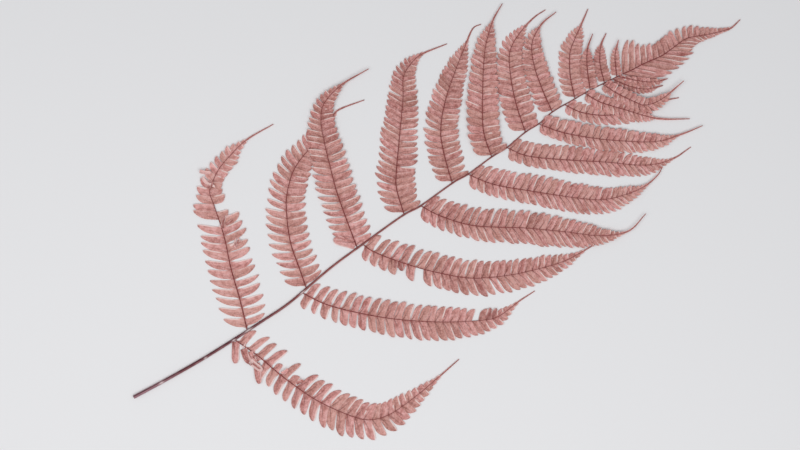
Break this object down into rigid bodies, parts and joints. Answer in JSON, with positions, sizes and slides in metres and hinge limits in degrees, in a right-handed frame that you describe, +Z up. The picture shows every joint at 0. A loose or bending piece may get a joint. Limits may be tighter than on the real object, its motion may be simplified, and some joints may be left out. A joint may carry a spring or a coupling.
{
  "type": "dried fern frond",
  "caption": "Flat dried fern frond: a dark curved stem with leafy side stems on both sides, each cut into narrow leaflets, and a lobed tip.",
  "frame": {"origin": "centre of the bounding box on the surface that the frond lies on", "axes": "+Z up from the surface, +X along the frond's longest extent with the cut end at -X and the tip at +X, +Y towards the side stems called left"},
  "size_m": [0.4008, 0.2888, 0.0036],
  "materials": {
    "stem": "matt",
    "leaf": "matt"
  },
  "bodies": {
    "root": {"rachis": "stem", "pinna_left_01": "leaf", "pinna_left_02": "leaf", "pinna_left_03": "leaf", "pinna_left_04": "leaf", "pinna_left_05": "leaf", "pinna_left_06": "leaf", "pinna_left_07": "leaf", "pinna_left_08": "leaf", "pinna_left_09": "leaf", "pinna_left_10": "leaf", "pinna_left_11": "leaf", "pinna_left_12": "leaf", "pinna_right_01": "leaf", "pinna_right_02": "leaf", "pinna_right_03": "leaf", "pinna_right_04": "leaf", "pinna_right_05": "leaf", "pinna_right_06": "leaf", "pinna_right_07": "leaf", "pinna_right_08": "leaf", "pinna_right_09": "leaf", "pinna_right_10": "leaf", "pinna_right_11": "leaf", "pinna_right_12": "leaf", "frond_tip": "leaf"}
  },
  "joints": []
}
